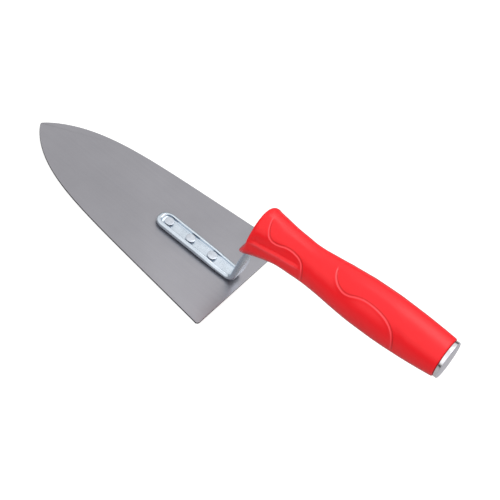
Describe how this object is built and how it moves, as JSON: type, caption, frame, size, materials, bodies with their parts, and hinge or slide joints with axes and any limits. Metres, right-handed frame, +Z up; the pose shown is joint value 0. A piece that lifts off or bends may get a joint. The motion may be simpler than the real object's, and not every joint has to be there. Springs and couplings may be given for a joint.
{
  "type": "brick trowel",
  "caption": "Brick trowel with a flat pointed steel blade, a pressed channel shank riveted to it, a moulded plastic handle and a steel striking cap.",
  "frame": {"origin": "on the blade's underside, on the centre line, halfway between the heel and the tip", "axes": "+X from the blade's heel to its tip, +Z up out of the blade on the handle's side, +Y to the left when looking along +X, and Y = 0 is the plane of symmetry"},
  "size_m": [0.3168, 0.0934, 0.08],
  "materials": {
    "blade_steel": "matt rolled steel",
    "shank_zinc": "bright zinc plate",
    "rivet_steel": "zinc plate, satin",
    "grip_plastic": "satin moulded plastic",
    "cap_plate": "plated steel, polished edge and matt face"
  },
  "bodies": {
    "root": {"blade": "blade_steel", "shank": "shank_zinc", "rivet_front": "rivet_steel", "rivet_middle": "rivet_steel", "rivet_rear": "rivet_steel", "handle_grip": "grip_plastic", "end_cap": "cap_plate"}
  },
  "joints": []
}
